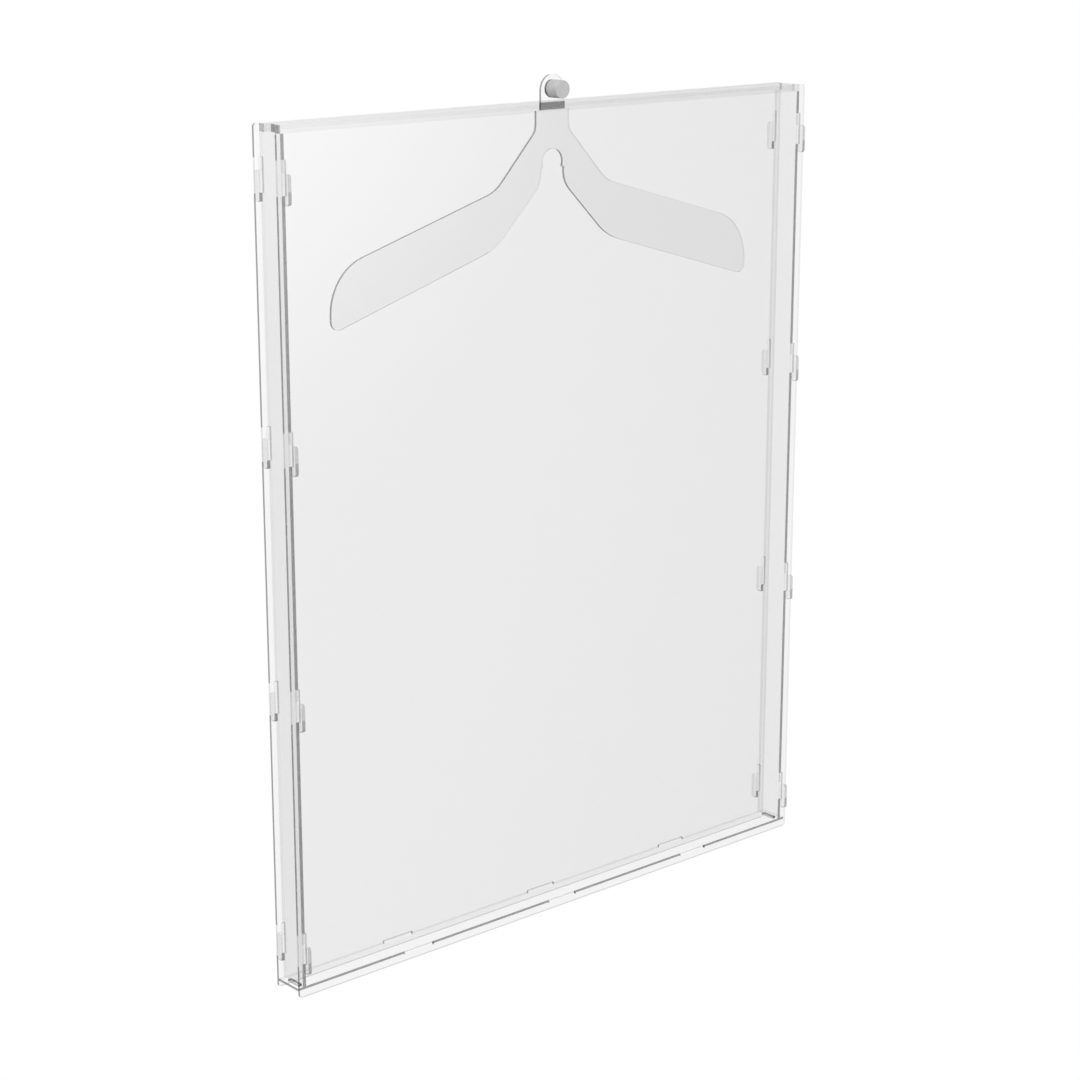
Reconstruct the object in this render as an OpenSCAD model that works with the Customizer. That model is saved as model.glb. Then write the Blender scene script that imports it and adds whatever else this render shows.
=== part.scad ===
// Jersey display frame: a shallow clear acrylic case that slots together without glue.
// Origin: centre of the footprint, on the plane the case stands on.
// +X runs along the width, +Y to the back, +Z up. Millimetres.

/* [Case] */
// Overall width of the front and back panels
case_w = 654; // [400:1:900]
// Overall height of the case
case_h = 800; // [500:1:1100]
// Overall depth over the front and back panels
case_d = 35.5; // [25:0.5:80]
// Thickness of the front, back and bottom panels and of the hanger
sheet_t = 2.5; // [2:0.1:6]
// Corner radius of the front and back panels
corner_r = 3; // [0.5:0.5:10]

/* [Side panels] */
// Thickness of the side panels
side_t = 3.5; // [2:0.1:6]
// How far each side panel's outer face sits inside the front panel's edge
side_inset = 5.6; // [3:0.1:20]

/* [Hooks] */
// Hooks on each long edge of a side panel
hook_count = 4; // [2:1:6]
// Height of the lowest hook's neck underside
hook_first = 31.4; // [25:0.1:80]
// Distance between neighbouring hooks
hook_pitch = 236.3; // [120:0.1:300]
// Height of a hook's neck
hook_neck = 19.2; // [10:0.1:30]
// How far a hook stands out from the panel face
hook_reach = 7; // [4:0.1:20]
// How far the lip hangs down over the panel
hook_lip = 7.8; // [4:0.1:15]
// Radius of a hook's outer corners
hook_r = 3; // [1:0.5:3]

/* [Bottom panel] */
// Height of the bottom panel's underside
floor_z = 6.5; // [2:0.5:30]
// Length of a bottom panel tab
tab_w = 35; // [20:1:60]
// Distance from the middle tab to each outer tab
tab_pitch = 185; // [100:1:280]
// Depth of a side panel's foot tab
foot_w = 16; // [8:1:24]

/* [Lid] */
// Thickness of the lid
lid_t = 7; // [3:0.5:15]
// Depth of a side panel's head tab, which locates the lid
head_w = 16.8; // [8:0.1:24]
// Gap between the lid and the panels it slides between
lid_gap = 0.25; // [0.1:0.05:1]

/* [Hanger] */
// Width of the hanger over its shoulders
hanger_w = 522.8; // [300:0.1:620]
// Width of the neck under the lid
neck_w = 41; // [25:1:80]
// Width of the tongue that passes up through the lid
tongue_w = 29.3; // [15:0.1:50]
// Height of the top of the tongue
tongue_top = 825.8; // [810:0.1:900]
// Radius of the collar notch
notch_r = 12.5; // [6:0.5:20]

/* [Peg] */
// Diameter of the peg
peg_d = 16.7; // [8:0.1:20]
// Length of the peg
peg_len = 16.5; // [8:0.5:40]
// Height of the peg's centre line
peg_z = 812.4; // [806:0.1:880]

/* [Hidden] */
$fn = 96;
arc_step = 7.5;             // degrees per chord in a rounded plate corner
cut_gap = 0.1;              // play of a tab in its slot, each side
seat_gap = 0.1;             // play between a plate's edge and the face beside it
peg_gap = 0.05;             // radial running fit of the peg in its hole
over = 1;                   // overrun of a cut
front_y = -case_d / 2;      // outer face of the front panel
inner_y = case_d / 2 - sheet_t;         // inner face of the front and back panels
seat_y = inner_y - seat_gap;
side_x = case_w / 2 - side_inset;      // outer face of a side panel
floor_top = floor_z + sheet_t;
lid_z = case_h - lid_t;
hook_h = hook_neck + hook_lip;
hook_play = 4;              // room over a hook as it passes through its slot
hook_slot_h = hook_h + hook_play;
peg_r = peg_d / 2;
ruler = [for (i = [0 : hook_count - 1]) hook_first + i * hook_pitch];
tab_xs = [-tab_pitch, 0, tab_pitch];
notch_z = 739.6;            // top of the notch's straight part
notch_rise = 5;             // from there up to the centre of its round end
acrylic = [0.93, 0.95, 0.96, 0.35];
satin_grey = [0.70, 0.70, 0.71];

// ---- helpers -------------------------------------------------------------

function unit(v) = v / norm(v);

// Arc that rounds corner b of the path a-b-c; b carries its radius as b[2].
function corner(a, b, c) =
    let (p = [b[0], b[1]],
         u = unit([a[0], a[1]] - p), w = unit([c[0], c[1]] - p),
         half = acos(u * w) / 2,
         reach = b[2] / tan(half),
         mid = p + unit(u + w) * b[2] / sin(half),
         s = p + u * reach - mid, e = p + w * reach - mid,
         turn = (s[0] * e[1] - s[1] * e[0] > 0 ? 1 : -1) * (180 - 2 * half),
         steps = ceil(abs(turn) / arc_step))
    b[2] == 0 ? [p]
    : [for (i = [0 : steps])
        let (t = turn * i / steps)
        mid + [s[0] * cos(t) - s[1] * sin(t), s[0] * sin(t) + s[1] * cos(t)]];

// Closed outline of [x, y, radius] corners with every corner rounded.
function rounded(pts) =
    let (n = len(pts))
    [for (i = [0 : n - 1])
        each corner(pts[(i + n - 1) % n], pts[i], pts[(i + 1) % n])];

// Outline that is the same on both sides: corners down the right side, then
// the same corners mirrored back up the left side.
function symmetric(pts) =
    concat(pts, [for (i = [len(pts) - 1 : -1 : 0]) [-pts[i][0], pts[i][1], pts[i][2]]]);

// Sheet standing in the XZ plane, from y0 towards the back.
module upright(y0, t) {
    translate([0, y0 + t, 0]) rotate([90, 0, 0]) linear_extrude(t) children();
}

// Sheet standing in the YZ plane, from x0 towards +X.
module crosswise(x0, t) {
    translate([x0, 0, 0]) rotate([90, 0, 90]) linear_extrude(t) children();
}

// Sheet lying flat, from z0 upwards.
module flat(z0, t) {
    translate([0, 0, z0]) linear_extrude(t) children();
}

module centred(w, h) {
    translate([-w / 2, -h / 2]) square([w, h]);
}

// ---- front and back ------------------------------------------------------

// Cuts for the hooks of both side panels and for the bottom panel's tabs.
module face_cuts() {
    for (s = [-1, 1], z = ruler)
        translate([s * (side_x - side_t / 2), z + hook_slot_h / 2])
            centred(side_t + 2 * cut_gap, hook_slot_h);
    for (x = tab_xs)
        translate([x, floor_z + sheet_t / 2])
            centred(tab_w + 2 * cut_gap, sheet_t + 2 * cut_gap);
}

module face_outline() {
    half = case_w / 2;
    polygon(rounded([[-half, 0, corner_r], [half, 0, corner_r],
                     [half, case_h, corner_r], [-half, case_h, corner_r]]));
}

module face_panel(y0) {
    color(acrylic) upright(y0, sheet_t) difference() {
        face_outline();
        face_cuts();
    }
}

module front_panel() face_panel(front_y);

module back_panel() face_panel(inner_y);

// ---- sides ---------------------------------------------------------------

// Corners of one hook, from its neck's top down: the neck runs through the
// face panel and the lip hangs down over its outer face.
function hook(z) =
    let (face = case_d / 2 + cut_gap, tip = case_d / 2 + hook_reach)
    [[seat_y, z + hook_neck, 0], [tip, z + hook_neck, hook_r],
     [tip, z - hook_lip, hook_r], [face, z - hook_lip, 0.8],
     [face, z, 0], [seat_y, z, 0]];

// Head tab, hooks from the top down, foot tab.
function side_corners() = concat(
    [[head_w / 2, case_h, 0], [head_w / 2, lid_z, 0], [seat_y, lid_z, 0]],
    [for (i = [hook_count - 1 : -1 : 0]) each hook(hook_first + i * hook_pitch)],
    [[seat_y, floor_top, 0], [foot_w / 2, floor_top, 0], [foot_w / 2, floor_z, 0]]);

module side_outline() {
    polygon(rounded(symmetric(side_corners())));
}

module side_panel(x0) {
    color(acrylic) crosswise(x0, side_t) side_outline();
}

module left_side_panel() side_panel(-side_x);

module right_side_panel() side_panel(side_x - side_t);

// ---- bottom and lid ------------------------------------------------------

module bottom_panel() {
    color(acrylic) flat(floor_z, sheet_t) difference() {
        union() {
            centred(case_w, 2 * seat_y);
            for (x = tab_xs) translate([x, 0]) centred(tab_w, case_d);
        }
        for (s = [-1, 1])
            translate([s * (side_x - side_t / 2), 0])
                centred(side_t + 2 * cut_gap, foot_w + 2 * cut_gap);
    }
}

module top_lid() {
    color(acrylic) flat(lid_z, lid_t) difference() {
        centred(2 * side_x, 2 * (inner_y - lid_gap));
        centred(tongue_w + 2 * cut_gap, sheet_t + 2 * cut_gap);
        for (s = [-1, 1])
            translate([s * (side_x - side_t / 2 + over / 2), 0])
                centred(side_t + 2 * lid_gap + over, head_w + 2 * lid_gap);
    }
}

// ---- hanger and peg ------------------------------------------------------

// Right side of the hanger: round-headed tongue, neck, shoulder slope,
// rounded shoulder end, underside and the straight part of the collar notch.
hanger_side = [
    [tongue_w / 2, tongue_top, tongue_w / 2 - 0.05], [tongue_w / 2, lid_z, 0],
    [neck_w / 2, lid_z, 0], [neck_w / 2, 774.6, 14], [69.7, 722.3, 38],
    [hanger_w / 2, 666.3, 50], [hanger_w / 2, 611.8, 8.5], [70.5, 669, 60],
    [14.1, 725.1, 25], [14.1, notch_z, 0]];

module hanger_outline() {
    difference() {
        polygon(rounded(symmetric(hanger_side)));
        translate([0, notch_z + notch_rise]) circle(notch_r);
    }
}

module hanger() {
    color(acrylic) difference() {
        upright(-sheet_t / 2, sheet_t) hanger_outline();
        translate([0, over + sheet_t, peg_z]) rotate([90, 0, 0])
            cylinder(r = peg_r + peg_gap, h = 2 * (over + sheet_t));
    }
}

module peg() {
    color(satin_grey) translate([0, sheet_t / 2, peg_z]) rotate([90, 0, 0])
        cylinder(r = peg_r, h = peg_len);
}

front_panel();
back_panel();
left_side_panel();
right_side_panel();
bottom_panel();
top_lid();
hanger();
peg();
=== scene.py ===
"""Jersey display frame: clear acrylic case, lift-off lid with a hanger, and a metal peg."""

from math import pi, radians

import bpy
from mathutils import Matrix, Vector


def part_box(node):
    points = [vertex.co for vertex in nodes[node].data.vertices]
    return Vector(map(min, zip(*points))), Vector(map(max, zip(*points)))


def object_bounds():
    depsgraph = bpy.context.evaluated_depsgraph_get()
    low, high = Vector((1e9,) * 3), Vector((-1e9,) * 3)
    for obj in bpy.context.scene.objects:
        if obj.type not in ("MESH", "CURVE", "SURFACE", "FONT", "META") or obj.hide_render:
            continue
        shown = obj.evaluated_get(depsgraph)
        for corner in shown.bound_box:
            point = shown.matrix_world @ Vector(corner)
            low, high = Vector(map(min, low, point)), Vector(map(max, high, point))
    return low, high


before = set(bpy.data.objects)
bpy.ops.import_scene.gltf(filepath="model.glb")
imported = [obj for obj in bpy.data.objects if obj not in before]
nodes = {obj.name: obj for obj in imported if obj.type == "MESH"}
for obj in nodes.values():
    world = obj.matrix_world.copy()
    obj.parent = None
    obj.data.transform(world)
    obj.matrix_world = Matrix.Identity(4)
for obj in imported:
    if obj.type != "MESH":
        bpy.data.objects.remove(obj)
cad_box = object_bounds()
scene = bpy.context.scene

# The sheets are named with the axis that their broad faces look along: 0 is X, 1 is Y, 2 is Z.
SHEETS = {
    "front_panel": 1,
    "back_panel": 1,
    "hanger": 1,
    "left_side_panel": 0,
    "right_side_panel": 0,
    "top_lid": 2,
    "bottom_panel": 2,
}
ACRYLIC_IOR = 1.49
NEAR = 0.0005  # a point this close to a face, in metres, counts as on it

# The sockets of a Mix node that mixes colours.
COLOUR_A, COLOUR_B, COLOUR_OUT = 6, 7, 2

# How deep the painted shade on the cut edges is, as shares of the darkest.
LID_END = 0.7
HOOK_TIP, HOOK_NECK = 0.8, 0.45
SIDE_EDGE_BY_SLOT = 0.25
# How much of its painted shade an edge of the front or back panel loses: in a slot, and on the rim beside one.
LOST_IN_SLOT, LOST_ON_RIM = 0.45, 0.75

# What the gloss mirrors goes from dark to white between these heights of a direction's Z.
SKY_LOW, SKY_HIGH = 0.05, 0.4

FLOOR_HALF = 30.0
LIGHT_SIZE, LIGHT_RADIANCE = 2.4, 1.0


def add(tree, kind, at, **settings):
    """A new node. Settings whose names are sockets are set on them, and the rest on the node itself."""
    node = tree.nodes.new(kind)
    node.location = at
    for key, value in settings.items():
        if key in node.inputs:
            node.inputs[key].default_value = value
        else:
            setattr(node, key, value)
    return node


def maths(tree, operation, at, *values):
    """A Math node, each of whose values is a number or a socket to link."""
    node = add(tree, "ShaderNodeMath", at, operation=operation)
    for socket, value in zip(node.inputs, values):
        if isinstance(value, (int, float)):
            socket.default_value = value
        else:
            tree.links.new(value, socket)
    return node.outputs[0]


def spread(tree, at, value, low, high, to_low, to_high):
    """A Map Range node from low..high to to_low..to_high, with a soft start and end."""
    node = add(tree, "ShaderNodeMapRange", at, interpolation_type="SMOOTHSTEP")
    for socket, number in zip(("From Min", "From Max", "To Min", "To Max"), (low, high, to_low, to_high)):
        node.inputs[socket].default_value = number
    tree.links.new(value, node.inputs["Value"])
    return node.outputs["Result"]


def material(name):
    """An empty node material and its output node."""
    made = bpy.data.materials.new(name)
    made.use_nodes = True
    made.node_tree.nodes.clear()
    return made, made.node_tree, add(made.node_tree, "ShaderNodeOutputMaterial", (900, 0))


def ladder(node, inside):
    """Lowest z, height and pitch of the equal features up a node whose corners pass the test."""
    heights = sorted(v.co.z for v in nodes[node].data.vertices if inside(v.co))
    starts = [i for i in range(len(heights)) if i == 0 or heights[i] - heights[i - 1] > 0.1]
    low, next_low = heights[starts[0]], heights[starts[1]]
    return low, heights[starts[1] - 1] - low, next_low - low


def rung(tree, at, z, low, height, pitch):
    """1 where z is on one of the equal features of a ladder, else 0."""
    step = maths(tree, "FLOORED_MODULO", at, maths(tree, "SUBTRACT", at, z, low), pitch)
    return maths(tree, "LESS_THAN", at, step, height)


def edge_shade_strength(tree, node, place):
    """How deep the painted shade on each cut edge of a sheet is: 1 is fully dark, and 0 leaves it clear."""
    front_low, front_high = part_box("front_panel")
    lid_low, lid_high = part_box("top_lid")
    face = abs(front_low[1])
    if node == "hanger":
        return 1.0
    if node == "top_lid":
        # Painted shade only on its ends and on the slot that the hanger's tongue fills.
        ends = maths(tree, "GREATER_THAN", (-900, 600), place[0], lid_high[0] - NEAR)
        ends = maths(tree, "MULTIPLY", (-700, 900), ends, LID_END)
        slot_half = 2.4 * abs(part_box("hanger")[0][1])
        return maths(tree, "MAXIMUM", (-700, 700), ends, maths(tree, "LESS_THAN", (-900, 800), place[1], slot_half))
    if node == "bottom_panel":
        # The ends of its tabs lie flush with the panels and get no painted shade.
        return maths(tree, "LESS_THAN", (-900, 600), place[1], face - 2 * NEAR)

    side_low, side_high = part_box("right_side_panel")
    slots = ladder("front_panel", lambda v: side_low[0] - 2 * NEAR < v.x < side_high[0] + 2 * NEAR)
    clear = rung(tree, (-700, 800), place[2], *slots)
    if node != "back_panel":
        by_lid = maths(tree, "GREATER_THAN", (-900, 900), place[2], lid_low[2])
        clear = maths(tree, "MAXIMUM", (-600, 900), clear, by_lid)
    if node in ("front_panel", "back_panel"):
        rim = maths(tree, "GREATER_THAN", (-900, 600), place[0], front_high[0] - NEAR)
        lost = maths(tree, "MULTIPLY_ADD", (-500, 600), rim, LOST_ON_RIM - LOST_IN_SLOT, LOST_IN_SLOT)
        return maths(tree, "SUBTRACT", (-300, 600), 1.0, maths(tree, "MULTIPLY", (-400, 600), clear, lost))

    # Painted shade on the side panels' hooks: dark at their tips and greyer where they come through the slots.
    low, height, pitch = ladder(node, lambda v: v.y < front_low[1] - 2 * NEAR)
    outside = maths(tree, "GREATER_THAN", (-900, 600), place[1], face + NEAR)
    neck = rung(tree, (-700, 1000), place[2], low + 0.45 * height, 0.6 * height, pitch)
    hook = maths(tree, "MULTIPLY_ADD", (-500, 1000), neck, HOOK_NECK - HOOK_TIP, HOOK_TIP)
    edge = maths(tree, "MULTIPLY_ADD", (-500, 800), clear, SIDE_EDGE_BY_SLOT - 1.0, 1.0)
    blend = maths(tree, "SUBTRACT", (-400, 900), hook, edge)
    return maths(tree, "MULTIPLY_ADD", (-300, 600), blend, outside, edge)


def acrylic(name, node, axis):
    """Clear cast acrylic: polished broad faces and sawn, flame-polished edges, with painted shade on the cut edges
    in the see-through colour.
    """
    made, tree, out = material(name)
    link = tree.links.new
    coords = add(tree, "ShaderNodeTexCoord", (-1700, 0))
    geometry = add(tree, "ShaderNodeNewGeometry", (-1700, -400))
    back = geometry.outputs["Backfacing"]

    def sizes(vector, at):
        """The three sizes, without sign, of a vector."""
        size = add(tree, "ShaderNodeVectorMath", at, operation="ABSOLUTE")
        link(vector, size.inputs[0])
        parts = add(tree, "ShaderNodeSeparateXYZ", (at[0] + 200, at[1]))
        link(size.outputs["Vector"], parts.inputs[0])
        return parts.outputs

    normal = sizes(geometry.outputs["True Normal"], (-1400, 200))
    place = sizes(coords.outputs["Object"], (-1400, 500))
    cut = maths(tree, "LESS_THAN", (-900, 200), normal[axis], 0.7)
    sloping = 1.0 if axis == 2 else spread(tree, (-900, 0), normal[2], 0.96, 0.995, 1.0, 0.0)

    # Light comes in and goes out at the same angle, so both faces of a sheet mirror the same share.
    ior = maths(tree, "MULTIPLY_ADD", (-900, -400), back, 1 / ACRYLIC_IOR - ACRYLIC_IOR, ACRYLIC_IOR)
    ripple = add(tree, "ShaderNodeTexNoise", (-1300, -700), Scale=9.0, Detail=3.0, Roughness=0.45)
    link(coords.outputs["Object"], ripple.inputs["Vector"])
    saw = add(tree, "ShaderNodeTexNoise", (-1300, -1000), Scale=900.0, Detail=4.0, Roughness=0.6)
    link(coords.outputs["Object"], saw.inputs["Vector"])
    bumpy = add(tree, "ShaderNodeBump", (-700, -700), Strength=0.15, Distance=0.0004)
    link(ripple.outputs["Fac"], bumpy.inputs["Height"])
    link(geometry.outputs["True Normal"], bumpy.inputs["Normal"])
    sawn = add(tree, "ShaderNodeBump", (-500, -900), Strength=0.4, Distance=0.0002)
    link(maths(tree, "MULTIPLY", (-900, -1000), saw.outputs["Fac"], cut), sawn.inputs["Height"])
    link(bumpy.outputs["Normal"], sawn.inputs["Normal"])

    fresnel = add(tree, "ShaderNodeFresnel", (-500, -400))
    link(ior, fresnel.inputs["IOR"])
    link(geometry.outputs["True Normal"], fresnel.inputs["Normal"])
    gloss = add(tree, "ShaderNodeBsdfGlossy", (-200, -600), distribution="GGX")
    rough = spread(tree, (-700, -500), ripple.outputs["Fac"], 0.3, 0.7, 0.03, 0.07)
    rough = maths(tree, "MULTIPLY_ADD", (-500, -600), cut, 0.22, rough)
    link(rough, gloss.inputs["Roughness"])
    link(sawn.outputs["Normal"], gloss.inputs["Normal"])

    # Painted shade: a cut edge that faces the eye is darkened in the see-through colour, standing in for the light
    # it pipes away, and saw noise makes it streaky. Seen from inside the sheet it is only dimmed a little, and an
    # underside more.
    facing = maths(tree, "MULTIPLY", (-700, 200), cut, maths(tree, "SUBTRACT", (-900, -200), 1.0, back))
    painted_shade_streaks = spread(tree, (-500, 400), saw.outputs["Fac"], 0.3, 0.7, 0.54, 0.66)
    strength = maths(tree, "MULTIPLY", (-300, 300), edge_shade_strength(tree, node, place), sloping)
    dark = maths(tree, "MULTIPLY", (-100, 300), maths(tree, "MULTIPLY", (-300, 200), facing, strength), painted_shade_streaks)
    under = maths(tree, "GREATER_THAN", (-900, -50), normal[2], 0.9)
    dim = maths(tree, "MULTIPLY_ADD", (-500, 0), under, 0.18, 0.07)
    painted_inner_shade = maths(tree, "MULTIPLY", (-300, 0), maths(tree, "MULTIPLY", (-500, 100), cut, back), dim)
    through = maths(tree, "SUBTRACT", (100, 200), maths(tree, "SUBTRACT", (0, 300), 1.0, dark), painted_inner_shade)
    # The see-through colour carries the painted shade of the cut edges.
    painted_shade_tint = add(tree, "ShaderNodeCombineColor", (250, 300))
    for socket in painted_shade_tint.inputs:
        link(through, socket)
    clear = add(tree, "ShaderNodeBsdfTransparent", (400, 200))
    link(painted_shade_tint.outputs[0], clear.inputs["Color"])

    # A level face mirrors a sky as white as what lies behind it, so it looks clear.
    steep = spread(tree, (0, -200), normal[2], 0.8, 0.98, 1.0, 0.1)
    mirrored = maths(tree, "MULTIPLY", (200, -300), fresnel.outputs[0], steep)
    mix = add(tree, "ShaderNodeMixShader", (600, 0))
    link(mirrored, mix.inputs[0])
    link(clear.outputs[0], mix.inputs[1])
    link(gloss.outputs[0], mix.inputs[2])
    link(mix.outputs[0], out.inputs["Surface"])
    return made


def satin_metal(name):
    """Turned and bead-blasted aluminium."""
    made, tree, out = material(name)
    link = tree.links.new
    place = add(tree, "ShaderNodeTexCoord", (-1300, 0))
    grain = add(tree, "ShaderNodeTexNoise", (-1000, 0), Scale=2500.0, Detail=3.0, Roughness=0.6)
    cloud = add(tree, "ShaderNodeTexNoise", (-1000, -300), Scale=140.0, Detail=2.0)
    link(place.outputs["Object"], grain.inputs["Vector"])
    link(place.outputs["Object"], cloud.inputs["Vector"])
    shade = add(tree, "ShaderNodeMix", (-500, 200), data_type="RGBA")
    shade.inputs[COLOUR_A].default_value = (0.50, 0.50, 0.50, 1)
    shade.inputs[COLOUR_B].default_value = (0.60, 0.60, 0.60, 1)
    link(cloud.outputs["Fac"], shade.inputs[0])
    bump = add(tree, "ShaderNodeBump", (-500, -300), Strength=0.25, Distance=0.0001)
    link(grain.outputs["Fac"], bump.inputs["Height"])
    metal = add(tree, "ShaderNodeBsdfPrincipled", (0, 0), Metallic=0.15)
    link(shade.outputs[COLOUR_OUT], metal.inputs["Base Color"])
    link(spread(tree, (-500, -100), grain.outputs["Fac"], 0.3, 0.7, 0.38, 0.52), metal.inputs["Roughness"])
    link(bump.outputs["Normal"], metal.inputs["Normal"])
    link(metal.outputs[0], out.inputs["Surface"])
    return made


def dress(node, made):
    """Gives the whole of a CAD node one material."""
    slots = node.material_slots
    if not slots:
        node.data.materials.append(made)
    for item in slots:
        item.material = made


for sheet_name, broad_axis in SHEETS.items():
    dress(nodes[sheet_name], acrylic("acrylic_" + sheet_name, sheet_name, broad_axis))
dress(nodes["peg"], satin_metal("satin_peg"))


def floor():
    """A white floor that glows as evenly as the background, and that the gloss of the sheets doesn't see."""
    corners = [(x * FLOOR_HALF, y * FLOOR_HALF, 0) for x, y in ((-1, -1), (1, -1), (1, 1), (-1, 1))]
    mesh = bpy.data.meshes.new("studio_floor")
    mesh.from_pydata(corners, [], [(0, 1, 2, 3)])
    made, tree, out = material("studio_white")
    glow = add(tree, "ShaderNodeEmission", (600, 0), Strength=1.0)
    tree.links.new(glow.outputs[0], out.inputs["Surface"])
    made.cycles.emission_sampling = "NONE"
    mesh.materials.append(made)
    plane = bpy.data.objects.new("studio_floor", mesh)
    plane.location = (0, 0, cad_box[0][2] - NEAR)
    plane.visible_glossy = False
    scene.collection.objects.link(plane)


def sky():
    """White behind and around the object. What the gloss mirrors is white overhead and dark lower down."""
    world = bpy.data.worlds.new("studio")
    scene.world = world
    world.use_nodes = True
    tree = world.node_tree
    tree.nodes.clear()
    link = tree.links.new
    place = add(tree, "ShaderNodeTexCoord", (-800, 0))
    parts = add(tree, "ShaderNodeSeparateXYZ", (-600, 0))
    link(place.outputs["Generated"], parts.inputs[0])
    above = spread(tree, (-400, 0), parts.outputs["Z"], SKY_LOW, SKY_HIGH, 0.0, 1.0)
    path = add(tree, "ShaderNodeLightPath", (-400, 300))
    plain = maths(tree, "MAXIMUM", (-200, 300), path.outputs["Is Camera Ray"], path.outputs["Is Diffuse Ray"])
    strength = maths(tree, "MAXIMUM", (-200, 100), plain, above)
    back = add(tree, "ShaderNodeBackground", (0, 0), Color=(1, 1, 1, 1))
    link(strength, back.inputs["Strength"])
    out = add(tree, "ShaderNodeOutputWorld", (200, 0))
    link(back.outputs[0], out.inputs["Surface"])


def softbox(name, at, aim):
    """A square light that is brightest round its middle and fades to nothing at its rim."""
    data = bpy.data.lights.new(name, "AREA")
    data.size = LIGHT_SIZE
    data.energy = pi * LIGHT_SIZE**2
    data.use_nodes = True
    tree = data.node_tree
    tree.nodes.clear()
    link = tree.links.new
    geometry = add(tree, "ShaderNodeNewGeometry", (-1000, 0))
    middle = add(tree, "ShaderNodeVectorMath", (-800, 0), operation="DISTANCE")
    link(geometry.outputs["Parametric"], middle.inputs[0])
    middle.inputs[1].default_value = (0.5, 0.5, 0.0)
    fade = spread(tree, (-500, 0), middle.outputs["Value"], 0.08, 0.5, LIGHT_RADIANCE, 0.0)
    glow = add(tree, "ShaderNodeEmission", (-100, 0))
    link(fade, glow.inputs["Strength"])
    out = add(tree, "ShaderNodeOutputLight", (200, 0))
    link(glow.outputs[0], out.inputs["Surface"])
    lamp = bpy.data.objects.new(name, data)
    lamp.location = at
    lamp.rotation_euler = (Vector(aim) - Vector(at)).to_track_quat("-Z", "Y").to_euler()
    lamp.visible_camera = False
    scene.collection.objects.link(lamp)


def camera():
    """A camera to the front left of the case and a little above it, looking slightly down."""
    data = bpy.data.cameras.new("camera")
    data.lens = 82.44
    data.sensor_width = 36.0
    data.clip_end = 200.0
    eye = bpy.data.objects.new("camera", data)
    eye.location = (-1.5516, -1.7371, 1.0049)
    eye.rotation_euler = (radians(74.927), 0.0, radians(-41.497))
    scene.collection.objects.link(eye)
    scene.camera = eye


floor()
sky()
camera()
softbox("key", (0.85, -2.0, 0.95), (0.85, 0.0, 0.95))
softbox("back_key", (-0.85, 2.0, 0.95), (-0.85, 0.0, 0.95))

# Many clear faces lie one behind another, and plain white has to stay white.
scene.cycles.transparent_max_bounces = 64
scene.view_settings.view_transform = "Standard"
